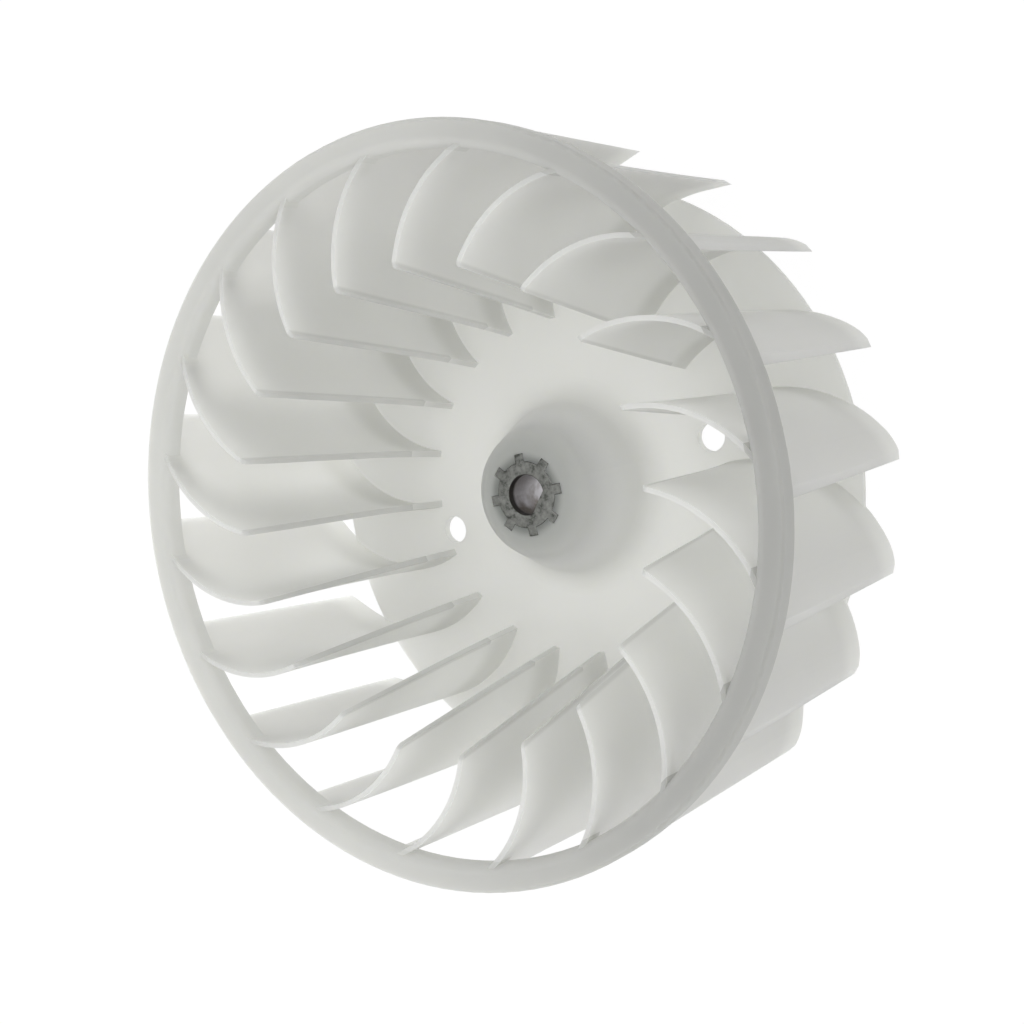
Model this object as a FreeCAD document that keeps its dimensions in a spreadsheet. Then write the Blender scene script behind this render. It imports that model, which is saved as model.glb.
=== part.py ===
import FreeCAD, Part
import math
import os

import Sketcher
from FreeCAD import Placement, Rotation, Vector

# Blower wheel of a household clothes dryer, in millimetres. The wheel turns about Z and rests on its
# back end, with the inlet ring up. X runs through the two round holes of the disc.
# Two pieces: the wheel, moulded in one from translucent plastic, and the metal sleeve moulded into
# its hub, which has lugs outside and a D-shaped bore for the motor shaft.

doc = FreeCAD.newDocument("blower_wheel")
sheet = doc.addObject("Spreadsheet::Sheet", "Sizes")

SIZES = {
    # Whole wheel
    "wheel_diameter": 197.0,
    "wheel_depth": 78.5,
    # Inlet ring at the front
    "ring_width": 7.1,
    "ring_height": 6.2,
    "ring_lip_round": 2.4,
    "ring_edge_round": 0.9,
    "ring_back_round": 0.6,
    # Disc at the back, slightly dished towards the hub. It clears the ring, so that the mould opens
    "disc_ring_gap": 4.7,
    "disc_rim_thickness": 1.5,
    "disc_front_slope": 3.8,
    "disc_back_slope": 2.3,
    # Round holes through the disc
    "disc_hole_diameter": 8.1,
    "disc_hole_circle": 92.0,
    # Trumpet-shaped hub, hollow at the back round a boss
    "hub_height": 31.5,
    "hub_crown_radius": 10.8,
    "hub_shoulder_round": 8.0,
    "hub_half_angle": 21.5,
    "hub_base_round": 8.0,
    "hub_wall": 2.4,
    "hub_cavity_top": 23.0,
    "boss_radius": 14.0,
    "boss_foot": 8.0,
    # Blades. Their mean curve is a circle that runs near the axis and a little outside the wheel.
    # They are thin at the front and thick at the disc, as the mould opens both ways
    "blade_count": 20,
    "blade_angle": 8.4,
    "blade_circle_near": 26.9,
    "blade_circle_past": 3.6,
    "blade_front_recess": 0.6,
    "blade_front_thickness": 1.25,
    "blade_ring_inset": 0.3,
    "blade_front_straight": 4.5,
    "blade_back_inset": 2.1,
    "blade_back_straight": 5.2,
    "blade_back_hollow": 1.0,
    "blade_back_crest_shift": 0.6,
    "blade_back_crest_drop": 1.2,
    "blade_back_crest_swell": 2.3,
    "blade_nose_depth": 2.8,
    "blade_tip_width": 2.607,
    # Halfway up, the blades' free inner edges are bowed, as they set when they cool
    "blade_middle_hollow_shift": 1.02,
    "blade_middle_hollow_rise": 1.42,
    "blade_middle_hollow_shrink": 2.57,
    "blade_middle_crest_shift": 1.41,
    "blade_middle_crest_rise": 2.3,
    "blade_middle_crest_shrink": 1.52,
    "blade_middle_tip_width": 2.024,
    "blade_root_radius": 48.2,
    "blade_corner_radius": 62.8,
    "blade_corner_round": 2.0,
    "blade_inner_end": 44.0,
    "blade_foot_inset": 0.5,
    # How far the trimming cuts run past what they trim
    "trim_margin": 5.0,
    # Metal sleeve in the hub
    "sleeve_radius": 9.35,
    "lug_count": 8,
    "lug_angle": -7.4,
    "lug_width": 3.0,
    "lug_reach": 11.6,
    "bore_radius": 5.65,
    "bore_flat_distance": 4.15,
    "bore_flat_angle": -47.0,
    "bore_flat_length": 13.5,
    "seat_radius": 6.0,
}

# Sizes that follow from those above
FOLLOWING = {
    "wheel_radius": "wheel_diameter / 2",
    "ring_inner_radius": "wheel_radius - ring_width",
    "disc_radius": "ring_inner_radius - disc_ring_gap",
    "blade_centre": "(wheel_radius + blade_circle_past + blade_circle_near) / 2",
    "blade_curve": "(wheel_radius + blade_circle_past - blade_circle_near) / 2",
    "front_height": "wheel_depth - blade_front_recess",
    "front_reach": "wheel_radius - blade_ring_inset",
    "front_turn_out": "front_reach - blade_front_straight",
    "front_hollow": "blade_curve - blade_front_thickness / 2",
    "front_crest": "blade_curve + blade_front_thickness / 2",
    "back_reach": "wheel_radius - blade_back_inset",
    "back_turn_out": "back_reach - blade_back_straight",
    "back_nose_start": "back_reach - blade_nose_depth",
    "back_hollow": "blade_curve - blade_back_hollow",
    "back_crest_centre": "blade_centre + blade_back_crest_shift",
    "back_crest_rise": "-blade_back_crest_drop",
    "back_crest": "blade_curve + blade_back_crest_swell",
    "middle_height": "wheel_depth / 2",
    "middle_reach": "(front_reach + back_reach) / 2",
    "middle_turn_out": "(front_turn_out + back_turn_out) / 2",
    "middle_nose_start": "(front_turn_out + back_nose_start) / 2",
    "middle_hollow_centre": "blade_centre + blade_middle_hollow_shift",
    "middle_hollow": "blade_curve - blade_middle_hollow_shrink",
    "middle_crest_centre": "blade_centre + blade_middle_crest_shift",
    "middle_crest": "blade_curve - blade_middle_crest_shrink",
    "trim_inside": "blade_inner_end - trim_margin",
    "foot_radius": "disc_radius - blade_foot_inset",
    "foot_rise": "(foot_radius - trim_inside) * tan((disc_front_slope + disc_back_slope) / 2 * 1 deg)",
    "sleeve_length": "hub_height - boss_foot",
    "seat_length": "sleeve_length - bore_flat_length",
    "lug_root": "(sleeve_radius + bore_radius) / 2",
}

rows = {alias: str(value) for alias, value in SIZES.items()}
rows.update({alias: f"={formula}" for alias, formula in FOLLOWING.items()})
for row, (alias, content) in enumerate(rows.items(), start=1):
    sheet.set(f"A{row}", alias.replace("_", " "))
    sheet.set(f"B{row}", content)
    sheet.setAlias(f"B{row}", alias)
doc.recompute()


def size(alias):
    return float(getattr(sheet, alias))


def new_body(label):
    body = doc.addObject("PartDesign::Body", label)
    body.Label = label
    body.AllowCompound = True
    return body


def new_sketch(body, name, role, turn=None, lift=None):
    """A sketch on one of the body's own origin planes, turned about the plane's normal and lifted."""
    plane = next(item for item in body.Origin.OriginFeatures if item.Role == role)
    sketch = body.newObject("Sketcher::SketchObject", name)
    sketch.AttachmentSupport = [(plane, "")]
    sketch.MapMode = "FlatFace"
    if turn:
        sketch.AttachmentOffset = Placement(Vector(), Rotation(Vector(0, 0, 1), size(turn)))
        sketch.setExpression("AttachmentOffset.Rotation.Angle", f"Sizes.{turn} * 1 deg")
    if lift:
        sketch.setExpression("AttachmentOffset.Base.z", f"({lift}) * 1 mm")
    return sketch


def line(sketch, start, end):
    return sketch.addGeometry(Part.LineSegment(Vector(*start, 0), Vector(*end, 0)))


def arc(sketch, centre, radius, start_angle, end_angle):
    circle = Part.Circle(Vector(*centre, 0), Vector(0, 0, 1), radius)
    return sketch.addGeometry(Part.ArcOfCircle(circle, start_angle, end_angle))


def circle(sketch, centre, radius, construction=False):
    return sketch.addGeometry(Part.Circle(Vector(*centre, 0), Vector(0, 0, 1), radius), construction)


def rule(sketch, expression, *constraint):
    """Adds a dimension whose value follows an expression on the sheet."""
    index = sketch.addConstraint(Sketcher.Constraint(*constraint))
    sketch.setExpression(f"Constraints[{index}]", expression)


def rule_x(sketch, expression, geometry, point):
    value = sketch.getPoint(geometry, point).x
    rule(sketch, expression, "DistanceX", -1, 1, geometry, point, value)


def rule_y(sketch, expression, geometry, point):
    value = sketch.getPoint(geometry, point).y
    rule(sketch, expression, "DistanceY", -1, 1, geometry, point, value)


def rule_radius(sketch, expression, geometry):
    rule(sketch, expression, "Radius", geometry, sketch.Geometry[geometry].Radius)


def rule_slope(sketch, expression, item, angle):
    """Fixes a line's direction, measured from the sketch's own X."""
    rule(sketch, f"({expression}) * 1 deg", "Angle", item, angle)


def join(sketch, *pairs):
    for first, first_end, second, second_end in pairs:
        sketch.addConstraint(Sketcher.Constraint("Coincident", first, first_end, second, second_end))


def blend(sketch, *pairs):
    for first, first_end, second, second_end in pairs:
        sketch.addConstraint(Sketcher.Constraint("Tangent", first, first_end, second, second_end))


def level(sketch, *lines):
    for item in lines:
        sketch.addConstraint(Sketcher.Constraint("Horizontal", item))


def upright(sketch, *lines):
    for item in lines:
        sketch.addConstraint(Sketcher.Constraint("Vertical", item))


def turned(body, kind, name, sketch):
    """A full turn of a sketch about Z, added (Revolution) or cut away (Groove)."""
    feature = body.newObject(f"PartDesign::{kind}", name)
    feature.Profile = sketch
    feature.ReferenceAxis = (sketch, ["V_Axis"])
    feature.Angle = 360.0
    return feature


def ring_of(body, name, feature, count):
    """Repeats a feature evenly about Z."""
    doc.recompute()
    pattern = body.newObject("PartDesign::PolarPattern", name)
    pattern.Originals = [feature]
    pattern.Axis = (feature.Profile[0], ["N_Axis"])
    pattern.Angle = 360.0
    pattern.setExpression("Occurrences", f"Sizes.{count}")
    body.Tip = pattern
    doc.recompute()
    return pattern


def cut_through(body, name, sketch, length):
    pocket = body.newObject("PartDesign::Pocket", name)
    pocket.Profile = sketch
    pocket.Reversed = True
    pocket.setExpression("Length", length)
    return pocket


def polar(radius, angle):
    return (radius * math.cos(angle), radius * math.sin(angle))


def crossing(centre, radius, reach):
    """Where a circle meets the circle of radius reach about the origin, on the anticlockwise side."""
    distance = math.hypot(*centre)
    bearing = math.atan2(centre[1], centre[0])
    spread = math.acos((reach**2 + distance**2 - radius**2) / (2 * reach * distance))
    return polar(reach, bearing + spread)


def bearing_of(point, centre):
    return math.atan2(point[1] - centre[1], point[0] - centre[0])


def tip_on_tangent(centre, start, reach):
    """Where the tangent of a circle at start, taken outwards, meets the circle reach about the origin."""
    across = bearing_of(start, centre) - math.pi / 2
    along = start[0] * math.cos(across) + start[1] * math.sin(across)
    length = math.sqrt(along**2 + reach**2 - start[0] ** 2 - start[1] ** 2) - along
    step_x, step_y = polar(length, across)
    return (start[0] + step_x, start[1] + step_y)


def rule_centre(sketch, item, centre_x, rise):
    """Fixes an arc's centre; without a rise it lies on the sketch's X, and a negative one is below it."""
    rule_x(sketch, f"Sizes.{centre_x}", item, 3)
    if rise is None:
        sketch.addConstraint(Sketcher.Constraint("PointOnObject", item, 3, -1))
    elif size(rise) < 0:
        rule(sketch, f"-Sizes.{rise}", "DistanceY", item, 3, -1, 1, -size(rise))
    else:
        rule_y(sketch, f"Sizes.{rise}", item, 3)


def blade_section(body, name, height, hollow, crest, turn_out, reach, nose_start=None, tip_width=None):
    """A blade's outline across Z, between two circles about the wheel's axis, from sizes by name.

    hollow and crest each name the centre's X, its rise and the radius of that face's arc. Outside the
    circle turn_out the hollow face runs straight on. So does the crest, unless it has a nose: then it
    curls in outside the circle nose_start, and leaves the outer end with the width tip_width.
    """
    lift = f"Sizes.{height}" if height else None
    sketch = new_sketch(body, name, "XY_Plane", turn="blade_angle", lift=lift)
    crest_turn = nose_start or turn_out
    hollow_centre = (size(hollow[0]), size(hollow[1]) if hollow[1] else 0.0)
    crest_centre = (size(crest[0]), size(crest[1]) if crest[1] else 0.0)
    hollow_radius = size(hollow[2])
    crest_radius = size(crest[2])

    hollow_start = crossing(hollow_centre, hollow_radius, size(turn_out))
    hollow_end = crossing(hollow_centre, hollow_radius, size("blade_inner_end"))
    hollow_tip = tip_on_tangent(hollow_centre, hollow_start, size(reach))
    crest_start = crossing(crest_centre, crest_radius, size(crest_turn))
    crest_end = crossing(crest_centre, crest_radius, size("blade_inner_end"))
    toward_start = bearing_of(crest_start, crest_centre)

    hollow_arc = arc(sketch, hollow_centre, hollow_radius,
                     bearing_of(hollow_start, hollow_centre), bearing_of(hollow_end, hollow_centre))
    hollow_line = line(sketch, hollow_tip, hollow_start)
    crest_arc = arc(sketch, crest_centre, crest_radius,
                    toward_start, bearing_of(crest_end, crest_centre))
    if nose_start:
        tip_angle = 2 * math.asin(size(tip_width) / (2 * size(reach)))
        crest_tip = polar(size(reach), bearing_of(hollow_tip, (0, 0)) + tip_angle)
        # The nose touches the crest where it starts and goes through the tip.
        step = (crest_tip[0] - crest_start[0], crest_tip[1] - crest_start[1])
        inward = -(step[0] * math.cos(toward_start) + step[1] * math.sin(toward_start))
        nose_radius = (step[0] ** 2 + step[1] ** 2) / (2 * inward)
        back_x, back_y = polar(nose_radius, toward_start)
        nose_centre = (crest_start[0] - back_x, crest_start[1] - back_y)
        crest_out = arc(sketch, nose_centre, nose_radius,
                        bearing_of(crest_tip, nose_centre), toward_start)
    else:
        crest_tip = tip_on_tangent(crest_centre, crest_start, size(reach))
        crest_out = line(sketch, crest_tip, crest_start)
    inner_end = line(sketch, hollow_end, crest_end)
    outer_end = line(sketch, hollow_tip, crest_tip)

    circles = {}
    for limit in (reach, turn_out, crest_turn, "blade_inner_end"):
        if limit not in circles:
            circles[limit] = circle(sketch, (0, 0), size(limit), True)
            join(sketch, (circles[limit], 3, -1, 1))
            rule_radius(sketch, f"Sizes.{limit}", circles[limit])
    join(sketch,
         (inner_end, 1, hollow_arc, 2), (inner_end, 2, crest_arc, 2),
         (outer_end, 1, hollow_line, 1), (outer_end, 2, crest_out, 1))
    blend(sketch, (hollow_line, 2, hollow_arc, 1), (crest_out, 2, crest_arc, 1))
    if nose_start:
        rule(sketch, f"Sizes.{tip_width}", "Distance", hollow_line, 1, crest_out, 1, size(tip_width))
    for item, end, limit in (
            (hollow_arc, 1, turn_out), (hollow_arc, 2, "blade_inner_end"),
            (crest_arc, 1, crest_turn), (crest_arc, 2, "blade_inner_end"),
            (hollow_line, 1, reach), (crest_out, 1, reach)):
        sketch.addConstraint(Sketcher.Constraint("PointOnObject", item, end, circles[limit]))
    for item, (centre_x, rise, radius) in ((hollow_arc, hollow), (crest_arc, crest)):
        rule_centre(sketch, item, centre_x, rise)
        rule_radius(sketch, f"Sizes.{radius}", item)
    return sketch


def add_blades(body):
    """All blades: each is lofted through three sections, then trimmed by turned cuts."""
    back = blade_section(
        body, "BladeBackSection", None,
        hollow=("blade_centre", None, "back_hollow"),
        crest=("back_crest_centre", "back_crest_rise", "back_crest"),
        turn_out="back_turn_out", reach="back_reach",
        nose_start="back_nose_start", tip_width="blade_tip_width")
    middle = blade_section(
        body, "BladeMiddleSection", "middle_height",
        hollow=("middle_hollow_centre", "blade_middle_hollow_rise", "middle_hollow"),
        crest=("middle_crest_centre", "blade_middle_crest_rise", "middle_crest"),
        turn_out="middle_turn_out", reach="middle_reach",
        nose_start="middle_nose_start", tip_width="blade_middle_tip_width")
    front = blade_section(
        body, "BladeFrontSection", "front_height",
        hollow=("blade_centre", None, "front_hollow"),
        crest=("blade_centre", None, "front_crest"),
        turn_out="front_turn_out", reach="front_reach")
    doc.recompute()
    blade = body.newObject("PartDesign::AdditiveLoft", "Blade")
    blade.Profile = back
    blade.Sections = [middle, front]
    ring_of(body, "Blades", blade, "blade_count")
    turned(body, "Groove", "BladeInnerEdges", inner_edge_sketch(body))
    turned(body, "Groove", "BladeFeet", foot_sketch(body))


def inner_edge_sketch(body):
    """What is cut from inside the blades: they lean outwards to a rounded corner at the front."""
    sketch = new_sketch(body, "BladeInnerEdgeSketch", "XZ_Plane")
    margin = size("trim_margin")
    top = size("front_height")
    root = (size("blade_root_radius"), 0.0)
    corner = (size("blade_corner_radius"), top)
    lean = math.atan2(corner[0] - root[0], top)
    rounding = size("blade_corner_round")
    # The rounding's centre lies on the blade's side of both edges.
    setback = rounding * math.tan((math.pi / 2 - lean) / 2)
    centre = (corner[0] + setback, top - rounding)
    low = (centre[0] - rounding * math.cos(lean), centre[1] + rounding * math.sin(lean))
    high = (centre[0], top)
    inside = size("trim_inside")

    below = line(sketch, (inside, -margin), (root[0], -margin))
    foot = line(sketch, (root[0], -margin), root)
    edge = line(sketch, root, low)
    round_corner = arc(sketch, centre, rounding, math.pi / 2, math.pi - lean)
    front = line(sketch, high, (high[0] + margin, top))
    side = line(sketch, (high[0] + margin, top), (high[0] + margin, top + margin))
    above = line(sketch, (high[0] + margin, top + margin), (inside, top + margin))
    within = line(sketch, (inside, top + margin), (inside, -margin))
    join(sketch, (below, 2, foot, 1), (foot, 2, edge, 1), (front, 2, side, 1),
         (side, 2, above, 1), (above, 2, within, 1), (within, 2, below, 1))
    blend(sketch, (edge, 2, round_corner, 2), (round_corner, 1, front, 1))
    level(sketch, below, front, above)
    upright(sketch, foot, side, within)
    # The corner that the rounding takes away fixes the edge's lean.
    lost_corner = sketch.addGeometry(Part.Point(Vector(*corner, 0)), True)
    sketch.addConstraint(Sketcher.Constraint("PointOnObject", lost_corner, 1, edge))
    sketch.addConstraint(Sketcher.Constraint("PointOnObject", lost_corner, 1, front))
    rule_x(sketch, "Sizes.blade_corner_radius", lost_corner, 1)
    rule_x(sketch, "Sizes.blade_root_radius", foot, 2)
    sketch.addConstraint(Sketcher.Constraint("PointOnObject", foot, 2, -1))
    rule_x(sketch, "Sizes.trim_inside", within, 2)
    rule(sketch, "Sizes.trim_margin", "DistanceY", below, 1, -1, 1, margin)
    rule_radius(sketch, "Sizes.blade_corner_round", round_corner)
    rule_y(sketch, "Sizes.front_height", front, 1)
    rule(sketch, "Sizes.trim_margin", "DistanceX", front, 1, front, 2, margin)
    rule(sketch, "Sizes.trim_margin", "DistanceY", side, 1, side, 2, margin)
    return sketch


def foot_sketch(body):
    """What is cut from under the blades, up to the middle of the dished disc."""
    sketch = new_sketch(body, "BladeFootSketch", "XZ_Plane")
    margin = size("trim_margin")
    rim_x = size("foot_radius")
    rim_y = size("disc_rim_thickness") / 2
    inside = size("trim_inside")
    rise = size("foot_rise")
    below = line(sketch, (inside, -margin), (rim_x, -margin))
    rim = line(sketch, (rim_x, -margin), (rim_x, rim_y))
    middle = line(sketch, (rim_x, rim_y), (inside, rim_y + rise))
    within = line(sketch, (inside, rim_y + rise), (inside, -margin))
    join(sketch, (below, 2, rim, 1), (rim, 2, middle, 1), (middle, 2, within, 1), (within, 2, below, 1))
    level(sketch, below)
    upright(sketch, rim, within)
    rule_x(sketch, "Sizes.foot_radius", rim, 2)
    rule_y(sketch, "Sizes.disc_rim_thickness / 2", rim, 2)
    rule(sketch, "Sizes.trim_margin", "DistanceY", below, 1, -1, 1, margin)
    rule_x(sketch, "Sizes.trim_inside", within, 2)
    rule(sketch, "Sizes.foot_rise", "DistanceY", rim, 2, middle, 2, rise)
    return sketch


def add_ring(body):
    """The inlet ring: a flat band whose front inner edge is the most rounded."""
    sketch = new_sketch(body, "RingSketch", "XZ_Plane")
    outer = size("wheel_radius")
    inner = size("ring_inner_radius")
    top = size("wheel_depth")
    bottom = top - size("ring_height")
    lip = size("ring_lip_round")
    edge = size("ring_edge_round")
    back = size("ring_back_round")
    turn = math.pi / 2
    underside = line(sketch, (inner + back, bottom), (outer - back, bottom))
    outer_wall = line(sketch, (outer, bottom + back), (outer, top - edge))
    front = line(sketch, (outer - edge, top), (inner + lip, top))
    inner_wall = line(sketch, (inner, top - lip), (inner, bottom + back))
    outer_back = arc(sketch, (outer - back, bottom + back), back, -turn, 0)
    outer_front = arc(sketch, (outer - edge, top - edge), edge, 0, turn)
    inner_front = arc(sketch, (inner + lip, top - lip), lip, turn, 2 * turn)
    inner_back = arc(sketch, (inner + back, bottom + back), back, 2 * turn, 3 * turn)
    blend(sketch,
          (underside, 2, outer_back, 1), (outer_back, 2, outer_wall, 1),
          (outer_wall, 2, outer_front, 1), (outer_front, 2, front, 1),
          (front, 2, inner_front, 1), (inner_front, 2, inner_wall, 1),
          (inner_wall, 2, inner_back, 1), (inner_back, 2, underside, 1))
    level(sketch, underside, front)
    upright(sketch, outer_wall, inner_wall)
    rule_radius(sketch, "Sizes.ring_back_round", outer_back)
    rule_radius(sketch, "Sizes.ring_edge_round", outer_front)
    rule_radius(sketch, "Sizes.ring_lip_round", inner_front)
    rule_radius(sketch, "Sizes.ring_back_round", inner_back)
    rule_x(sketch, "Sizes.wheel_radius", outer_wall, 1)
    rule_x(sketch, "Sizes.ring_inner_radius", inner_wall, 1)
    rule_y(sketch, "Sizes.wheel_depth", front, 1)
    rule_y(sketch, "Sizes.wheel_depth - Sizes.ring_height", underside, 1)
    return turned(body, "Revolution", "InletRing", sketch)


def add_disc_and_hub(body):
    """The dished disc, the hub's trumpet-shaped wall and the boss inside it, as one turned section."""
    sketch = new_sketch(body, "DiscAndHubSketch", "XZ_Plane")
    lean = math.radians(size("hub_half_angle"))
    front_slope = math.radians(size("disc_front_slope"))
    back_slope = math.radians(size("disc_back_slope"))
    height = size("hub_height")
    shoulder = size("hub_shoulder_round")
    base = size("hub_base_round")
    rim = (size("disc_radius"), size("disc_rim_thickness"))
    crown = (size("hub_crown_radius"), height)
    shoulder_centre = (crown[0], height - shoulder)
    cone_top = (shoulder_centre[0] + shoulder * math.cos(lean),
                shoulder_centre[1] + shoulder * math.sin(lean))
    # The base rounding touches the cone and the disc's front face from the open side.
    cone_side = base + cone_top[0] * math.cos(lean) + cone_top[1] * math.sin(lean)
    disc_side = base + rim[0] * math.sin(front_slope) + rim[1] * math.cos(front_slope)
    spread = math.cos(lean + front_slope)
    base_centre = ((cone_side * math.cos(front_slope) - disc_side * math.sin(lean)) / spread,
                   (disc_side * math.cos(lean) - cone_side * math.sin(front_slope)) / spread)
    cone_foot = (base_centre[0] - base * math.cos(lean), base_centre[1] - base * math.sin(lean))
    disc_start = (base_centre[0] - base * math.sin(front_slope),
                  base_centre[1] - base * math.cos(front_slope))
    cavity_top = size("hub_cavity_top")
    wall_x = size("hub_wall") / math.cos(lean)

    def cavity_x(at_height):
        return cone_top[0] + (cone_top[1] - at_height) * math.tan(lean) - wall_x

    roof_end = (cavity_x(cavity_top), cavity_top)
    # The cavity's wall meets the disc's back face.
    mouth_y = ((rim[0] - cavity_x(0)) * math.tan(back_slope)
               / (1 - math.tan(lean) * math.tan(back_slope)))
    mouth = (cavity_x(mouth_y), mouth_y)
    boss = size("boss_radius")
    foot = size("boss_foot")

    axis = line(sketch, (0, foot), (0, height))
    crown_face = line(sketch, (0, height), crown)
    shoulder_arc = arc(sketch, shoulder_centre, shoulder, lean, math.pi / 2)
    cone = line(sketch, cone_top, cone_foot)
    base_arc = arc(sketch, base_centre, base, math.pi + lean, 1.5 * math.pi - front_slope)
    disc_front = line(sketch, disc_start, rim)
    disc_rim = line(sketch, rim, (rim[0], 0))
    disc_back = line(sketch, (rim[0], 0), mouth)
    cavity_wall = line(sketch, mouth, roof_end)
    cavity_roof = line(sketch, roof_end, (boss, cavity_top))
    boss_wall = line(sketch, (boss, cavity_top), (boss, foot))
    boss_face = line(sketch, (boss, foot), (0, foot))
    join(sketch,
         (axis, 2, crown_face, 1), (disc_front, 2, disc_rim, 1), (disc_rim, 2, disc_back, 1),
         (disc_back, 2, cavity_wall, 1), (cavity_wall, 2, cavity_roof, 1),
         (cavity_roof, 2, boss_wall, 1), (boss_wall, 2, boss_face, 1), (boss_face, 2, axis, 1))
    blend(sketch,
          (crown_face, 2, shoulder_arc, 2), (shoulder_arc, 1, cone, 1),
          (cone, 2, base_arc, 1), (base_arc, 2, disc_front, 1))
    level(sketch, crown_face, cavity_roof, boss_face)
    upright(sketch, axis, disc_rim, boss_wall)
    sketch.addConstraint(Sketcher.Constraint("PointOnObject", axis, 1, -2))
    sketch.addConstraint(Sketcher.Constraint("PointOnObject", disc_rim, 2, -1))
    sketch.addConstraint(Sketcher.Constraint("Parallel", cavity_wall, cone))
    rule_y(sketch, "Sizes.hub_height", axis, 2)
    rule_y(sketch, "Sizes.boss_foot", axis, 1)
    rule_x(sketch, "Sizes.hub_crown_radius", crown_face, 2)
    rule_radius(sketch, "Sizes.hub_shoulder_round", shoulder_arc)
    rule_slope(sketch, "Sizes.hub_half_angle - 90", cone, lean - math.pi / 2)
    rule_radius(sketch, "Sizes.hub_base_round", base_arc)
    rule_x(sketch, "Sizes.disc_radius", disc_rim, 1)
    rule_y(sketch, "Sizes.disc_rim_thickness", disc_rim, 1)
    rule_slope(sketch, "-Sizes.disc_front_slope", disc_front, -front_slope)
    rule_slope(sketch, "180 - Sizes.disc_back_slope", disc_back, math.pi - back_slope)
    rule(sketch, "Sizes.hub_wall", "Distance", cavity_wall, 2, cone, size("hub_wall"))
    rule_y(sketch, "Sizes.hub_cavity_top", cavity_roof, 1)
    rule_x(sketch, "Sizes.boss_radius", boss_wall, 1)
    return sketch


def add_disc_holes(body):
    """Two round holes through the disc, opposite each other on X."""
    sketch = new_sketch(body, "DiscHoleSketch", "XY_Plane")
    middle = size("disc_hole_circle") / 2
    radius = size("disc_hole_diameter") / 2
    for side, place in ((1, "right"), (-1, "left")):
        hole = circle(sketch, (side * middle, 0), radius)
        sketch.addConstraint(Sketcher.Constraint("PointOnObject", hole, 3, -1))
        rule_radius(sketch, "Sizes.disc_hole_diameter / 2", hole)
        if place == "right":
            rule_x(sketch, "Sizes.disc_hole_circle / 2", hole, 3)
        else:
            rule(sketch, "Sizes.disc_hole_circle / 2", "DistanceX", hole, 3, -1, 1, middle)
    return cut_through(body, "DiscHoles", sketch, "Sizes.hub_height")


def sleeve_round_sketch(body):
    """The sleeve's round body, also the socket that is moulded about it."""
    sketch = new_sketch(body, "SleeveRoundSketch", "XY_Plane", lift="Sizes.boss_foot")
    body_circle = circle(sketch, (0, 0), size("sleeve_radius"))
    join(sketch, (body_circle, 3, -1, 1))
    rule_radius(sketch, "Sizes.sleeve_radius", body_circle)
    return sketch


def lug_sketch(body):
    """One lug of the sleeve, from inside its round body out to the lug's flat end."""
    sketch = new_sketch(body, "LugSketch", "XY_Plane", turn="lug_angle", lift="Sizes.boss_foot")
    reach = size("lug_reach")
    root = size("lug_root")
    half = size("lug_width") / 2
    low = line(sketch, (root, -half), (reach, -half))
    end = line(sketch, (reach, -half), (reach, half))
    high = line(sketch, (reach, half), (root, half))
    inner = line(sketch, (root, half), (root, -half))
    join(sketch, (low, 2, end, 1), (end, 2, high, 1), (high, 2, inner, 1), (inner, 2, low, 1))
    level(sketch, low, high)
    upright(sketch, end, inner)
    rule_x(sketch, "Sizes.lug_reach", end, 1)
    rule_x(sketch, "Sizes.lug_root", inner, 1)
    rule_y(sketch, "Sizes.lug_width / 2", high, 1)
    rule(sketch, "Sizes.lug_width / 2", "DistanceY", low, 1, -1, 1, half)
    return sketch


def add_socket(body):
    """The boss's socket: the same outline as the sleeve, as the plastic is moulded about it."""
    cut_through(body, "Socket", sleeve_round_sketch(body), "Sizes.hub_height")
    slot = cut_through(body, "LugSlot", lug_sketch(body), "Sizes.hub_height")
    ring_of(body, "LugSlots", slot, "lug_count")


def add_sleeve(body):
    """The metal sleeve: a round body with lugs around it, as long as the boss."""
    for name, sketch in (("Round", sleeve_round_sketch(body)), ("Lug", lug_sketch(body))):
        pad = body.newObject("PartDesign::Pad", name)
        pad.Profile = sketch
        pad.setExpression("Length", "Sizes.sleeve_length")
    ring_of(body, "Lugs", pad, "lug_count")


def add_bore(body):
    """The sleeve's bore: D-shaped in front, for the drive, and a slightly wider round seat at the back."""
    sketch = new_sketch(body, "BoreSketch", "XY_Plane", turn="bore_flat_angle")
    radius = size("bore_radius")
    flat = size("bore_flat_distance")
    half_width = math.sqrt(radius**2 - flat**2)
    half_angle = math.acos(flat / radius)
    round_wall = arc(sketch, (0, 0), radius, half_angle, 2 * math.pi - half_angle)
    flat_wall = line(sketch, (flat, -half_width), (flat, half_width))
    join(sketch, (round_wall, 3, -1, 1), (round_wall, 2, flat_wall, 1), (flat_wall, 2, round_wall, 1))
    upright(sketch, flat_wall)
    rule_radius(sketch, "Sizes.bore_radius", round_wall)
    rule_x(sketch, "Sizes.bore_flat_distance", flat_wall, 1)
    cut_through(body, "Bore", sketch, "Sizes.hub_height")

    seat = new_sketch(body, "ShaftSeatSketch", "XY_Plane", lift="Sizes.boss_foot")
    seat_wall = circle(seat, (0, 0), size("seat_radius"))
    join(seat, (seat_wall, 3, -1, 1))
    rule_radius(seat, "Sizes.seat_radius", seat_wall)
    cut_through(body, "ShaftSeat", seat, "Sizes.seat_length")


wheel = new_body("blower_wheel")
add_blades(wheel)
add_ring(wheel)
turned(wheel, "Revolution", "DiscAndHub", add_disc_and_hub(wheel))
add_disc_holes(wheel)
add_socket(wheel)

sleeve = new_body("drive_sleeve")
add_sleeve(sleeve)
add_bore(sleeve)

doc.recompute()

for item in doc.Objects:
    if "Invalid" in item.State or "Error" in item.State:
        raise RuntimeError(f"{item.Name} does not recompute: {item.State}")

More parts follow.
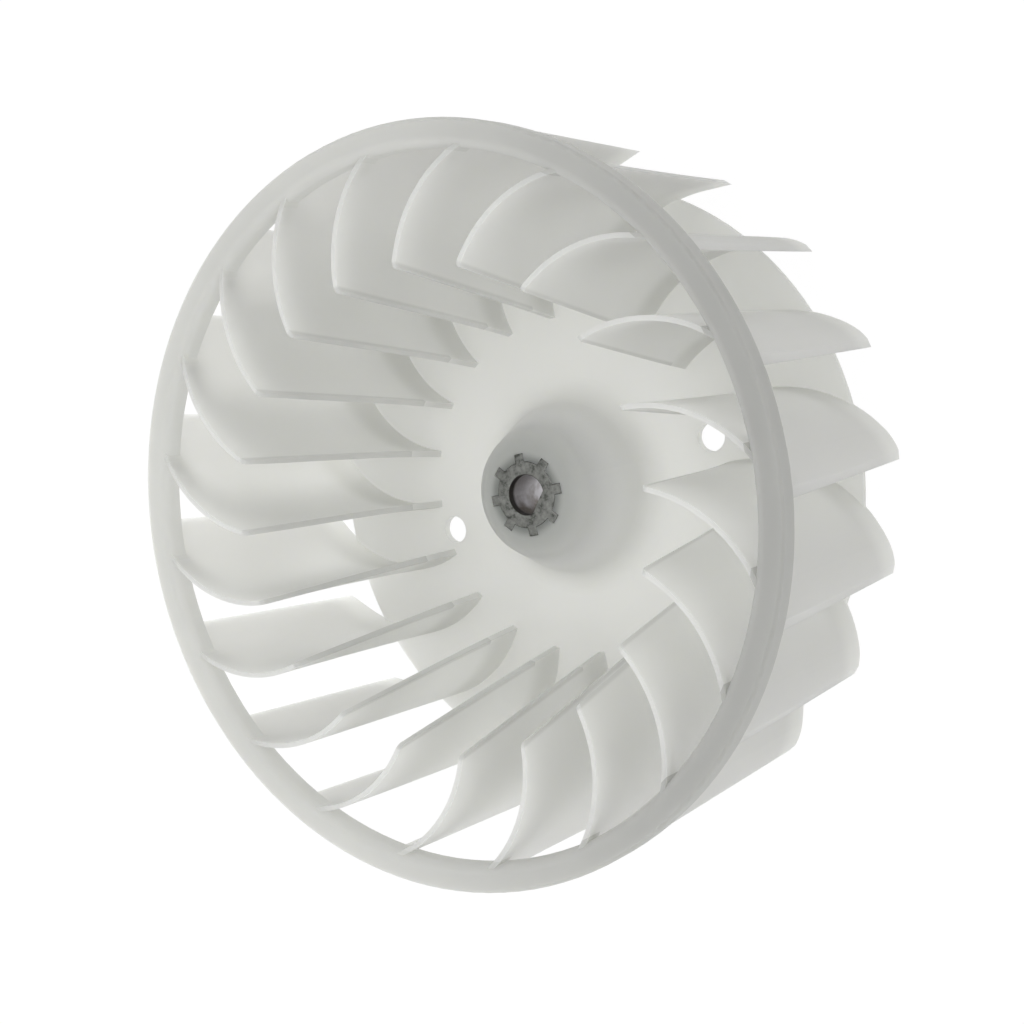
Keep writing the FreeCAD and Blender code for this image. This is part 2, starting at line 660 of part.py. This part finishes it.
os.makedirs("parts", exist_ok=True)
for part in (wheel, sleeve):
    shape = part.Shape
    if shape.isNull() or not shape.isValid() or len(shape.Solids) != 1:
        raise RuntimeError(f"{part.Label} is not one sound solid")
    print(part.Label, "volume mm3:", round(shape.Volume), "box:", shape.BoundBox)
    shape.exportStep(f"parts/{part.Label}.step")
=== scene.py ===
import math

import bmesh
import bpy
from mathutils import Euler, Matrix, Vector


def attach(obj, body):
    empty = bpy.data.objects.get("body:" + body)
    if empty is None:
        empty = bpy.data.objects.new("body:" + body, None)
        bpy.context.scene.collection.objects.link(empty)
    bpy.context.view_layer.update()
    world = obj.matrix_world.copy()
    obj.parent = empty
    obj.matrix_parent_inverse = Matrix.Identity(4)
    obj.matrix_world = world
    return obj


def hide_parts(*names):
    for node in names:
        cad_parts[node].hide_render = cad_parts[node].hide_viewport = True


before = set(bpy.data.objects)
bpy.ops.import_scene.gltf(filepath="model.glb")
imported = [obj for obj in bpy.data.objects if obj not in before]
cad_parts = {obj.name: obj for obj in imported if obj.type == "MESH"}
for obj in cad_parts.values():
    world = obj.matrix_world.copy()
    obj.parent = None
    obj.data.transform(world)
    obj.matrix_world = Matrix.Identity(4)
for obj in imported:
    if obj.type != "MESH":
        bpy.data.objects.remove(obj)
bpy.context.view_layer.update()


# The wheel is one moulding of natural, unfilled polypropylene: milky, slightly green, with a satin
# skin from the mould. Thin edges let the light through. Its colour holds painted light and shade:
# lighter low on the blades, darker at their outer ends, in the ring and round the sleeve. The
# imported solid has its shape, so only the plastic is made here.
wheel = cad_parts["blower_wheel"]

# The plastic's tones over the disc, low and high on the blades, at their outer ends, and in the
# ring. Painted light makes the blades lighter low down. Painted shade makes their outer ends and
# the ring darker, and the ring darker still on one side.
DISC_PLASTIC = (0.885, 0.887, 0.870, 1.0)
LIT_LOW_PLASTIC = (0.993, 0.995, 0.981, 1.0)
MOUTH_PLASTIC = (0.885, 0.887, 0.871, 1.0)
OUTER_PLASTIC = (0.825, 0.825, 0.813, 1.0)
RING_PLASTIC = (0.775, 0.777, 0.760, 1.0)
RING_SHADED_SIDE = (0.60, 0.602, 0.588, 1.0)
LIGHT_THROUGH = 0.6
LIGHT_SPREAD = 0.003
BLADE_TOP = 0.080
DISC_SHARE, LIT_LOW_SHARE, MOUTH_SHARE = 0.13, 0.25, 0.90
OUTER_FROM, OUTER_TO = 0.077, 0.094
BLADE_FOOT_FROM, BLADE_FOOT_TO = 0.006, 0.012
RING_INNER_RADIUS = 0.0905
RING_BOTTOM = 0.0722
# The side on which the ring carries more painted shade, and from where to where along it that
# shade deepens.
SHADED_SIDE = (0.936, -0.352, 0.0)
SHADED_SIDE_FROM, SHADED_SIDE_TO = -0.03, 0.095
# The blades' free inner edges lean out from the disc to the mouth: their radius is EDGE_ROOT at
# the back plane, and EDGE_LEAN times the height more above it.
EDGE_ROOT = 0.0482
EDGE_LEAN = 0.1874
# Painted shade on the blades' free edges: the band it covers, how dark it makes them, and the
# height below which it stops.
EDGE_FROM, EDGE_TO = 0.0006, 0.0016
EDGE_PAINTED_SHADE = 0.85
EDGE_LOWEST = 0.016
# Painted shade round the sleeve, partly the metal showing through the plastic: the hub's tones from
# the sleeve outwards, each with its share of HUB_REACH from the axis.
HUB_REACH = 0.050
HUB_SHADE_TONES = (
    (0.18, (0.40, 0.415, 0.40, 1.0)),
    (0.25, (0.71, 0.72, 0.71, 1.0)),
    (0.40, (0.975, 0.975, 0.975, 1.0)),
    (0.66, (0.975, 0.975, 0.975, 1.0)),
    (0.92, (0.962, 0.962, 0.962, 1.0)),
)


def natural_plastic():
    material = bpy.data.materials.new("natural_plastic")
    material.use_nodes = True
    tree = material.node_tree
    nodes, links = tree.nodes, tree.links
    nodes.clear()
    output = nodes.new("ShaderNodeOutputMaterial")
    plastic = nodes.new("ShaderNodeBsdfPrincipled")
    plastic.inputs["Subsurface Weight"].default_value = 1.0
    plastic.inputs["Subsurface Radius"].default_value = (1.0, 1.0, 0.9)
    plastic.inputs["Subsurface Scale"].default_value = LIGHT_SPREAD
    plastic.inputs["IOR"].default_value = 1.49
    plastic.inputs["Specular IOR Level"].default_value = 0.35

    # Light from behind comes through the thin walls.
    through = nodes.new("ShaderNodeBsdfTranslucent")
    milk = nodes.new("ShaderNodeMixShader")
    milk.inputs["Fac"].default_value = LIGHT_THROUGH
    links.new(plastic.outputs["BSDF"], milk.inputs[1])
    links.new(through.outputs["BSDF"], milk.inputs[2])
    links.new(milk.outputs["Shader"], output.inputs["Surface"])

    place = nodes.new("ShaderNodeTexCoord")
    apart = nodes.new("ShaderNodeSeparateXYZ")
    links.new(place.outputs["Object"], apart.inputs["Vector"])
    flat = nodes.new("ShaderNodeCombineXYZ")
    links.new(apart.outputs["X"], flat.inputs["X"])
    links.new(apart.outputs["Y"], flat.inputs["Y"])
    radius = nodes.new("ShaderNodeVectorMath")
    radius.operation = "LENGTH"
    links.new(flat.outputs["Vector"], radius.inputs[0])

    # How milky the plastic is drifts a little over the part, as the melt cooled unevenly.
    drift = nodes.new("ShaderNodeTexNoise")
    drift.inputs["Scale"].default_value = 22.0
    drift.inputs["Detail"].default_value = 1.0
    links.new(place.outputs["Object"], drift.inputs["Vector"])
    drifted = nodes.new("ShaderNodeMapRange")
    drifted.inputs["To Min"].default_value = 0.965
    drifted.inputs["To Max"].default_value = 1.02
    links.new(drift.outputs["Fac"], drifted.inputs["Value"])

    # Painted light: the blades are lighter low down, a little above the disc, and darker again
    # towards the mouth.
    height = nodes.new("ShaderNodeMapRange")
    height.inputs["From Max"].default_value = BLADE_TOP
    links.new(apart.outputs["Z"], height.inputs["Value"])
    painted_height_light = nodes.new("ShaderNodeValToRGB")
    painted_height_light.color_ramp.interpolation = "EASE"
    painted_height_light.color_ramp.elements[0].position = DISC_SHARE
    painted_height_light.color_ramp.elements[0].color = DISC_PLASTIC
    painted_height_light.color_ramp.elements[1].position = MOUTH_SHARE
    painted_height_light.color_ramp.elements[1].color = MOUTH_PLASTIC
    lit_low = painted_height_light.color_ramp.elements.new(LIT_LOW_SHARE)
    lit_low.color = LIT_LOW_PLASTIC
    links.new(height.outputs["Result"], painted_height_light.inputs["Fac"])

    # Painted shade: a narrow band along each blade's free inner edge is darkened, from EDGE_LOWEST
    # up, to hold down the light the edge catches from above.
    free_edge = nodes.new("ShaderNodeMath")
    free_edge.operation = "MULTIPLY_ADD"
    free_edge.inputs[1].default_value = EDGE_LEAN
    free_edge.inputs[2].default_value = EDGE_ROOT
    links.new(apart.outputs["Z"], free_edge.inputs[0])
    from_edge = nodes.new("ShaderNodeMath")
    from_edge.operation = "SUBTRACT"
    links.new(radius.outputs["Value"], from_edge.inputs[0])
    links.new(free_edge.outputs["Value"], from_edge.inputs[1])
    near_edge = nodes.new("ShaderNodeMath")
    near_edge.operation = "ABSOLUTE"
    links.new(from_edge.outputs["Value"], near_edge.inputs[0])
    edge_band = nodes.new("ShaderNodeMapRange")
    edge_band.interpolation_type = "SMOOTHSTEP"
    edge_band.inputs["From Min"].default_value = EDGE_FROM
    edge_band.inputs["From Max"].default_value = EDGE_TO
    edge_band.inputs["To Min"].default_value = EDGE_PAINTED_SHADE
    links.new(near_edge.outputs["Value"], edge_band.inputs["Value"])
    over_disc = nodes.new("ShaderNodeMath")
    over_disc.operation = "LESS_THAN"
    over_disc.inputs[1].default_value = EDGE_LOWEST
    links.new(apart.outputs["Z"], over_disc.inputs[0])
    edge_shade = nodes.new("ShaderNodeMath")
    edge_shade.operation = "MAXIMUM"
    links.new(edge_band.outputs["Result"], edge_shade.inputs[0])
    links.new(over_disc.outputs["Value"], edge_shade.inputs[1])
    edged = nodes.new("ShaderNodeVectorMath")
    edged.operation = "SCALE"
    links.new(painted_height_light.outputs["Color"], edged.inputs[0])
    links.new(edge_shade.outputs["Value"], edged.inputs["Scale"])

    # Painted shade: the blades are darker at their outer ends, where they are thicker and let less
    # light through; the disc below them isn't darkened.
    outwards = nodes.new("ShaderNodeMapRange")
    outwards.interpolation_type = "SMOOTHSTEP"
    outwards.inputs["From Min"].default_value = OUTER_FROM
    outwards.inputs["From Max"].default_value = OUTER_TO
    links.new(radius.outputs["Value"], outwards.inputs["Value"])
    outer = nodes.new("ShaderNodeMix")
    outer.data_type = "RGBA"
    outer.inputs["B"].default_value = OUTER_PLASTIC
    blades_only = nodes.new("ShaderNodeMapRange")
    blades_only.inputs["From Min"].default_value = BLADE_FOOT_FROM
    blades_only.inputs["From Max"].default_value = BLADE_FOOT_TO
    links.new(apart.outputs["Z"], blades_only.inputs["Value"])
    outer_share = nodes.new("ShaderNodeMath")
    outer_share.operation = "MULTIPLY"
    links.new(outwards.outputs["Result"], outer_share.inputs[0])
    links.new(blades_only.outputs["Result"], outer_share.inputs[1])
    links.new(outer_share.outputs["Value"], outer.inputs["Factor"])
    links.new(edged.outputs["Vector"], outer.inputs["A"])

    # Painted shade darkens the hub towards the sleeve, partly the metal showing through the
    # plastic.
    from_axis = nodes.new("ShaderNodeMapRange")
    from_axis.inputs["From Max"].default_value = HUB_REACH
    links.new(radius.outputs["Value"], from_axis.inputs["Value"])
    hub = nodes.new("ShaderNodeValToRGB")
    hub.color_ramp.interpolation = "EASE"
    hub_stops = [hub.color_ramp.elements[0], hub.color_ramp.elements[1]]
    hub_stops[0].position, hub_stops[0].color = HUB_SHADE_TONES[0]
    hub_stops[1].position, hub_stops[1].color = HUB_SHADE_TONES[-1]
    for share, tone in HUB_SHADE_TONES[1:-1]:
        hub.color_ramp.elements.new(share).color = tone
    links.new(from_axis.outputs["Result"], hub.inputs["Fac"])
    hub_mix = nodes.new("ShaderNodeVectorMath")
    hub_mix.operation = "MULTIPLY"
    links.new(outer.outputs["Result"], hub_mix.inputs[0])
    links.new(hub.outputs["Color"], hub_mix.inputs[1])

    # Painted shade: the ring, the thickest section, is darker, and darker still on one side.
    across = nodes.new("ShaderNodeVectorMath")
    across.operation = "DOT_PRODUCT"
    across.inputs[1].default_value = SHADED_SIDE
    links.new(place.outputs["Object"], across.inputs[0])
    shaded_side = nodes.new("ShaderNodeMapRange")
    shaded_side.interpolation_type = "SMOOTHSTEP"
    shaded_side.inputs["From Min"].default_value = SHADED_SIDE_FROM
    shaded_side.inputs["From Max"].default_value = SHADED_SIDE_TO
    links.new(across.outputs["Value"], shaded_side.inputs["Value"])
    ring_tone = nodes.new("ShaderNodeMix")
    ring_tone.data_type = "RGBA"
    ring_tone.inputs["A"].default_value = RING_PLASTIC
    ring_tone.inputs["B"].default_value = RING_SHADED_SIDE
    links.new(shaded_side.outputs["Result"], ring_tone.inputs["Factor"])
    outside = nodes.new("ShaderNodeMath")
    outside.operation = "GREATER_THAN"
    outside.inputs[1].default_value = RING_INNER_RADIUS
    links.new(radius.outputs["Value"], outside.inputs[0])
    above = nodes.new("ShaderNodeMath")
    above.operation = "GREATER_THAN"
    above.inputs[1].default_value = RING_BOTTOM
    links.new(apart.outputs["Z"], above.inputs[0])
    ring = nodes.new("ShaderNodeMath")
    ring.operation = "MULTIPLY"
    links.new(outside.outputs["Value"], ring.inputs[0])
    links.new(above.outputs["Value"], ring.inputs[1])
    ring_mix = nodes.new("ShaderNodeMix")
    ring_mix.data_type = "RGBA"
    links.new(ring_tone.outputs["Result"], ring_mix.inputs["B"])
    links.new(ring.outputs["Value"], ring_mix.inputs["Factor"])
    links.new(hub_mix.outputs["Vector"], ring_mix.inputs["A"])
    tint = nodes.new("ShaderNodeVectorMath")
    tint.operation = "SCALE"
    links.new(ring_mix.outputs["Result"], tint.inputs[0])
    links.new(drifted.outputs["Result"], tint.inputs["Scale"])
    links.new(tint.outputs["Vector"], plastic.inputs["Base Color"])
    links.new(tint.outputs["Vector"], through.inputs["Color"])

    # The mould's fine satin finish.
    grain = nodes.new("ShaderNodeTexNoise")
    grain.inputs["Scale"].default_value = 900.0
    grain.inputs["Detail"].default_value = 1.0
    links.new(place.outputs["Object"], grain.inputs["Vector"])
    satin = nodes.new("ShaderNodeMapRange")
    satin.inputs["To Min"].default_value = 0.42
    satin.inputs["To Max"].default_value = 0.56
    links.new(grain.outputs["Fac"], satin.inputs["Value"])
    links.new(satin.outputs["Result"], plastic.inputs["Roughness"])
    return material


wheel.data.materials.clear()
wheel.data.materials.append(natural_plastic())


# The sleeve is a die-cast metal bush that the wheel was moulded round: eight lugs keep it from
# turning, and the motor shaft's flat drives it. Its edges are slightly rounded, and a hair of a gap
# shows round it, where the plastic shrank away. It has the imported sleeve's sizes, in metres.
SLEEVE_TOP = 0.0315
SLEEVE_FOOT = 0.008
SEAT_TOP = 0.018
SLEEVE_RADIUS = 0.00931
LUG_COUNT = 8
LUG_ANGLE = -7.4
LUG_HALF_WIDTH = 0.00146
LUG_REACH = 0.01156
BORE_RADIUS = 0.00565
BORE_FLAT = 0.00415
BORE_FLAT_ANGLE = -47.0
SEAT_RADIUS = 0.0060
EDGE_ROUND = 0.0003
EDGE_STEPS = 3
LUG_CORNER = 0.00035
STEPS_BETWEEN_LUGS = 9
STEPS_ROUND_BORE = 56
STEPS_ALONG_FLAT = 8
STEPS_ROUND_SEAT = 64
SHARP_EDGE = math.radians(38.0)


def on_circle(radius, angle):
    return radius * math.cos(angle), radius * math.sin(angle)


def sleeve_outline(inset):
    """The round body with its lugs, drawn in by inset, as points round the axis."""
    radius, half, reach = SLEEVE_RADIUS - inset, LUG_HALF_WIDTH - inset, LUG_REACH - inset
    points = []
    for lug in range(LUG_COUNT):
        turn = math.radians(LUG_ANGLE + lug * 360.0 / LUG_COUNT)
        foot = math.asin(half / radius)
        lug_side = [
            (radius * math.cos(foot), half),
            (reach - LUG_CORNER, half),
            (reach - LUG_CORNER * 0.3, half - LUG_CORNER * 0.3),
            (reach, half - LUG_CORNER),
        ]
        profile = [(x, -y) for x, y in lug_side] + [(x, y) for x, y in reversed(lug_side)]
        cosine, sine = math.cos(turn), math.sin(turn)
        points += [(x * cosine - y * sine, x * sine + y * cosine) for x, y in profile]
        gap = math.radians(360.0 / LUG_COUNT) - 2.0 * foot
        points += [
            on_circle(radius, turn + foot + gap * step / STEPS_BETWEEN_LUGS)
            for step in range(1, STEPS_BETWEEN_LUGS)
        ]
    return points


def bore_outline(grow):
    """The D-shaped bore, widened by grow."""
    radius, flat = BORE_RADIUS + grow, BORE_FLAT + grow
    turn = math.radians(BORE_FLAT_ANGLE)
    half = math.acos(flat / radius)
    sweep = 2.0 * math.pi - 2.0 * half
    points = [
        on_circle(radius, turn + half + sweep * step / STEPS_ROUND_BORE)
        for step in range(STEPS_ROUND_BORE + 1)
    ]
    (first_x, first_y), (last_x, last_y) = points[0], points[-1]
    points += [
        (
            last_x + (first_x - last_x) * step / STEPS_ALONG_FLAT,
            last_y + (first_y - last_y) * step / STEPS_ALONG_FLAT,
        )
        for step in range(1, STEPS_ALONG_FLAT)
    ]
    return points


sleeve_mesh = bmesh.new()


def sleeve_loop(points, z):
    """A closed loop of vertices and edges at one height."""
    corners = [sleeve_mesh.verts.new((x, y, z)) for x, y in points]
    return [sleeve_mesh.edges.new((corners[i - 1], corners[i])) for i in range(len(corners))]


def join_loops(loops):
    """Walls from each loop to the next."""
    for first, second in zip(loops, loops[1:]):
        bmesh.ops.bridge_loops(sleeve_mesh, edges=first + second)


# From the upright wall to the flat front, each step's inset and its drop below the front.
rounding = [
    (EDGE_ROUND * (1.0 - math.cos(angle)), EDGE_ROUND * (1.0 - math.sin(angle)))
    for angle in [math.radians(90.0 * step / EDGE_STEPS) for step in range(EDGE_STEPS + 1)]
]
outer_wall = [sleeve_loop(sleeve_outline(0.0), SLEEVE_FOOT)]
outer_wall += [sleeve_loop(sleeve_outline(inset), SLEEVE_TOP - drop) for inset, drop in rounding]
bore_wall = [sleeve_loop(bore_outline(drop), SLEEVE_TOP - inset) for inset, drop in rounding]
bore_wall += [sleeve_loop(bore_outline(0.0), SEAT_TOP)]
seat_points = [
    on_circle(SEAT_RADIUS, math.radians(360.0 * step / STEPS_ROUND_SEAT))
    for step in range(STEPS_ROUND_SEAT)
]
seat_wall = [sleeve_loop(seat_points, SEAT_TOP), sleeve_loop(seat_points, SLEEVE_FOOT)]
join_loops(outer_wall)
join_loops(bore_wall)
join_loops(seat_wall)
for rims, way in (
    (outer_wall[-1] + bore_wall[0], 1.0),
    (bore_wall[-1] + seat_wall[0], -1.0),
    (seat_wall[1] + outer_wall[0], -1.0),
):
    bmesh.ops.triangle_fill(sleeve_mesh, use_beauty=True, edges=rims, normal=(0.0, 0.0, way))
bmesh.ops.recalc_face_normals(sleeve_mesh, faces=sleeve_mesh.faces)
for edge in sleeve_mesh.edges:
    edge.smooth = len(edge.link_faces) == 2 and edge.calc_face_angle() < SHARP_EDGE
for face in sleeve_mesh.faces:
    face.smooth = True
sleeve_data = bpy.data.meshes.new("sleeve")
sleeve_mesh.to_mesh(sleeve_data)
sleeve_mesh.free()
sleeve = bpy.data.objects.new("sleeve", sleeve_data)
bpy.context.scene.collection.objects.link(sleeve)


CASTING_DARK = (0.074, 0.077, 0.070, 1.0)
CASTING_GREY = (0.162, 0.166, 0.155, 1.0)
CASTING_PALE = (0.235, 0.238, 0.226, 1.0)
BORE_STAIN = (0.26, 0.235, 0.21, 1.0)
BORE_METAL = (0.62, 0.61, 0.63, 1.0)
# The painted dark reflection in the bore's mouth, also used on the front edges, and the depths over
# which it fades out into the bored metal.
MOUTH_AND_EDGE_DARK = (0.085, 0.080, 0.074, 1.0)
DARK_BAND_DEEPEST, DARK_BAND_DEEP = SLEEVE_TOP - 0.0030, SLEEVE_TOP - 0.0020
FRONT_FROM, FRONT_TO = SLEEVE_TOP - 0.0002, SLEEVE_TOP - 0.00001


def cast_metal():
    material = bpy.data.materials.new("cast_metal")
    material.use_nodes = True
    tree = material.node_tree
    nodes, links = tree.nodes, tree.links
    nodes.clear()
    output = nodes.new("ShaderNodeOutputMaterial")
    metal = nodes.new("ShaderNodeBsdfPrincipled")
    metal.inputs["Metallic"].default_value = 1.0
    links.new(metal.outputs["BSDF"], output.inputs["Surface"])
    place = nodes.new("ShaderNodeTexCoord")
    apart = nodes.new("ShaderNodeSeparateXYZ")
    links.new(place.outputs["Object"], apart.inputs["Vector"])

    # Clouds and specks of the casting's skin, on the front.
    cloud = nodes.new("ShaderNodeTexNoise")
    cloud.inputs["Scale"].default_value = 650.0
    cloud.inputs["Detail"].default_value = 5.0
    cloud.inputs["Roughness"].default_value = 0.62
    links.new(place.outputs["Object"], cloud.inputs["Vector"])
    skin = nodes.new("ShaderNodeValToRGB")
    skin.color_ramp.elements[0].position = 0.34
    skin.color_ramp.elements[0].color = CASTING_DARK
    skin.color_ramp.elements[1].position = 0.66
    skin.color_ramp.elements[1].color = CASTING_PALE
    middle = skin.color_ramp.elements.new(0.47)
    middle.color = CASTING_GREY
    links.new(cloud.outputs["Fac"], skin.inputs["Fac"])

    # The bored wall is brighter, with brown stains towards one side.
    stain = nodes.new("ShaderNodeTexNoise")
    stain.inputs["Scale"].default_value = 260.0
    stain.inputs["Detail"].default_value = 3.0
    links.new(place.outputs["Object"], stain.inputs["Vector"])
    side = nodes.new("ShaderNodeMath")
    side.operation = "MULTIPLY_ADD"
    side.inputs[1].default_value = 70.0
    links.new(apart.outputs["Y"], side.inputs[0])
    links.new(stain.outputs["Fac"], side.inputs[2])
    bored = nodes.new("ShaderNodeValToRGB")
    bored.color_ramp.elements[0].position = 0.25
    bored.color_ramp.elements[0].color = BORE_STAIN
    bored.color_ramp.elements[1].position = 0.62
    bored.color_ramp.elements[1].color = BORE_METAL
    links.new(side.outputs["Value"], bored.inputs["Fac"])

    # Painted reflection: the bore's wall is dark for its first 2 to 3 mm below the front, and the
    # same dark colour darkens the rounded front edges and the walls just below them.
    depth = nodes.new("ShaderNodeMapRange")
    depth.inputs["From Min"].default_value = DARK_BAND_DEEPEST
    depth.inputs["From Max"].default_value = DARK_BAND_DEEP
    links.new(apart.outputs["Z"], depth.inputs["Value"])
    mouth = nodes.new("ShaderNodeMix")
    mouth.data_type = "RGBA"
    mouth.inputs["B"].default_value = MOUTH_AND_EDGE_DARK
    links.new(depth.outputs["Result"], mouth.inputs["Factor"])
    links.new(bored.outputs["Color"], mouth.inputs["A"])
    front = nodes.new("ShaderNodeMapRange")
    front.interpolation_type = "SMOOTHSTEP"
    front.inputs["From Min"].default_value = FRONT_FROM
    front.inputs["From Max"].default_value = FRONT_TO
    links.new(apart.outputs["Z"], front.inputs["Value"])
    whole = nodes.new("ShaderNodeMix")
    whole.data_type = "RGBA"
    links.new(front.outputs["Result"], whole.inputs["Factor"])
    links.new(mouth.outputs["Result"], whole.inputs["A"])
    links.new(skin.outputs["Color"], whole.inputs["B"])
    links.new(whole.outputs["Result"], metal.inputs["Base Color"])

    rough = nodes.new("ShaderNodeMapRange")
    rough.inputs["To Min"].default_value = 0.42
    rough.inputs["To Max"].default_value = 0.62
    links.new(cloud.outputs["Fac"], rough.inputs["Value"])
    links.new(rough.outputs["Result"], metal.inputs["Roughness"])
    pits = nodes.new("ShaderNodeBump")
    pits.inputs["Strength"].default_value = 0.5
    pits.inputs["Distance"].default_value = 0.0003
    links.new(cloud.outputs["Fac"], pits.inputs["Height"])
    links.new(pits.outputs["Normal"], metal.inputs["Normal"])
    return material


sleeve.data.materials.append(cast_metal())
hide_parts("drive_sleeve")
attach(sleeve, "root")


# The photograph's viewing angle: from above the ring, 34 degrees off the wheel's axis.
CAMERA_PLACE = (0.25553622, -0.03669149, 0.42332355)
CAMERA_TURN = (-7.345577, 33.235632, -20.541476)
camera_data = bpy.data.cameras.new("camera")
camera_data.lens = 59.551
camera_data.sensor_width = 36.0
camera_data.clip_start = 0.01
camera = bpy.data.objects.new("camera", camera_data)
camera.location = CAMERA_PLACE
camera.rotation_euler = Euler([math.radians(angle) for angle in CAMERA_TURN])
bpy.context.scene.collection.objects.link(camera)
bpy.context.scene.camera = camera
bpy.context.scene.view_settings.view_transform = "Standard"


# A plain pale floor, a white light table on which the wheel lies on its back end. The camera, the
# gloss and what shows through see it nearly white, and it keeps part of the wheel's shadow. From
# below it can be seen through, so that the wheel's back shows.
FLOOR_SIZE = 3.0
FLOOR_HEIGHT = -0.0005
FLOOR_PAINT = (0.90, 0.90, 0.90, 1.0)
TABLE_GLOW = 0.43
WHITE_SHARE = 0.95
floor_mesh = bmesh.new()
bmesh.ops.create_grid(floor_mesh, x_segments=1, y_segments=1, size=FLOOR_SIZE)
bmesh.ops.translate(floor_mesh, verts=floor_mesh.verts, vec=(0.0, 0.0, FLOOR_HEIGHT))
floor_data = bpy.data.meshes.new("floor")
floor_mesh.to_mesh(floor_data)
floor_mesh.free()
floor = bpy.data.objects.new("floor", floor_data)
bpy.context.scene.collection.objects.link(floor)


def seen_ray(nodes, links):
    """1 for camera, glossy and transmission rays, else 0."""
    rays = nodes.new("ShaderNodeLightPath")
    first = nodes.new("ShaderNodeMath")
    first.operation = "MAXIMUM"
    links.new(rays.outputs["Is Camera Ray"], first.inputs[0])
    links.new(rays.outputs["Is Glossy Ray"], first.inputs[1])
    both = nodes.new("ShaderNodeMath")
    both.operation = "MAXIMUM"
    links.new(first.outputs["Value"], both.inputs[0])
    links.new(rays.outputs["Is Transmission Ray"], both.inputs[1])
    return both.outputs["Value"]


floor_material = bpy.data.materials.new("pale_floor")
floor_material.use_nodes = True
floor_nodes, floor_links = floor_material.node_tree.nodes, floor_material.node_tree.links
floor_nodes.clear()
floor_output = floor_nodes.new("ShaderNodeOutputMaterial")
paint = floor_nodes.new("ShaderNodeBsdfDiffuse")
paint.inputs["Color"].default_value = FLOOR_PAINT
white = floor_nodes.new("ShaderNodeEmission")
white.inputs["Strength"].default_value = 1.0
table_glow = floor_nodes.new("ShaderNodeEmission")
table_glow.inputs["Strength"].default_value = TABLE_GLOW
share = floor_nodes.new("ShaderNodeMath")
share.operation = "MULTIPLY"
share.inputs[1].default_value = WHITE_SHARE
floor_links.new(seen_ray(floor_nodes, floor_links), share.inputs[0])
lit_table = floor_nodes.new("ShaderNodeAddShader")
floor_links.new(paint.outputs["BSDF"], lit_table.inputs[0])
floor_links.new(table_glow.outputs["Emission"], lit_table.inputs[1])
floor_mix = floor_nodes.new("ShaderNodeMixShader")
floor_links.new(share.outputs["Value"], floor_mix.inputs["Fac"])
floor_links.new(lit_table.outputs["Shader"], floor_mix.inputs[1])
floor_links.new(white.outputs["Emission"], floor_mix.inputs[2])
below = floor_nodes.new("ShaderNodeNewGeometry")
clear = floor_nodes.new("ShaderNodeBsdfTransparent")
floor_side = floor_nodes.new("ShaderNodeMixShader")
floor_links.new(below.outputs["Backfacing"], floor_side.inputs["Fac"])
floor_links.new(floor_mix.outputs["Shader"], floor_side.inputs[1])
floor_links.new(clear.outputs["BSDF"], floor_side.inputs[2])
floor_links.new(floor_side.outputs["Shader"], floor_output.inputs["Surface"])
floor.data.materials.append(floor_material)


# Soft studio light: a pale surround that is brighter overhead, and three softboxes, each with its
# place, side and power. All aim at the wheel's middle.
SURROUND_SLOPE = (-0.06, 0.0, 0.41)
SURROUND_LEVEL = 0.50
WHITE = (1.0, 1.0, 1.0, 1.0)
WHEEL_MIDDLE = Vector((0.0, 0.0, 0.04))
SOFTBOXES = (
    ("softbox_left", (-0.50, 0.05, 0.12), 0.3, 1.10),
    ("softbox_near", (0.0, -0.40, 0.30), 0.3, 0.50),
    ("softbox_top", (0.10, 0.05, 0.45), 0.3, 0.36),
)
world = bpy.data.worlds.new("surround")
bpy.context.scene.world = world
world.use_nodes = True
sky_nodes, sky_links = world.node_tree.nodes, world.node_tree.links
sky_nodes.clear()
sky_output = sky_nodes.new("ShaderNodeOutputWorld")
heading = sky_nodes.new("ShaderNodeTexCoord")
slope = sky_nodes.new("ShaderNodeVectorMath")
slope.operation = "DOT_PRODUCT"
slope.inputs[1].default_value = SURROUND_SLOPE
sky_links.new(heading.outputs["Generated"], slope.inputs[0])
level = sky_nodes.new("ShaderNodeMath")
level.operation = "ADD"
level.inputs[1].default_value = SURROUND_LEVEL
sky_links.new(slope.outputs["Value"], level.inputs[0])
surround = sky_nodes.new("ShaderNodeBackground")
surround.inputs["Color"].default_value = WHITE
sky_links.new(level.outputs["Value"], surround.inputs["Strength"])
backdrop = sky_nodes.new("ShaderNodeBackground")
backdrop.inputs["Color"].default_value = WHITE
backdrop.inputs["Strength"].default_value = 1.0
sky_mix = sky_nodes.new("ShaderNodeMixShader")
sky_links.new(seen_ray(sky_nodes, sky_links), sky_mix.inputs["Fac"])
sky_links.new(surround.outputs["Background"], sky_mix.inputs[1])
sky_links.new(backdrop.outputs["Background"], sky_mix.inputs[2])
sky_links.new(sky_mix.outputs["Shader"], sky_output.inputs["Surface"])

for name, place, side, power in SOFTBOXES:
    box_data = bpy.data.lights.new(name, "AREA")
    box_data.shape = "SQUARE"
    box_data.size = side
    box_data.energy = power
    softbox = bpy.data.objects.new(name, box_data)
    softbox.location = place
    aim = WHEEL_MIDDLE - softbox.location
    softbox.rotation_euler = aim.to_track_quat("-Z", "Y").to_euler()
    bpy.context.scene.collection.objects.link(softbox)
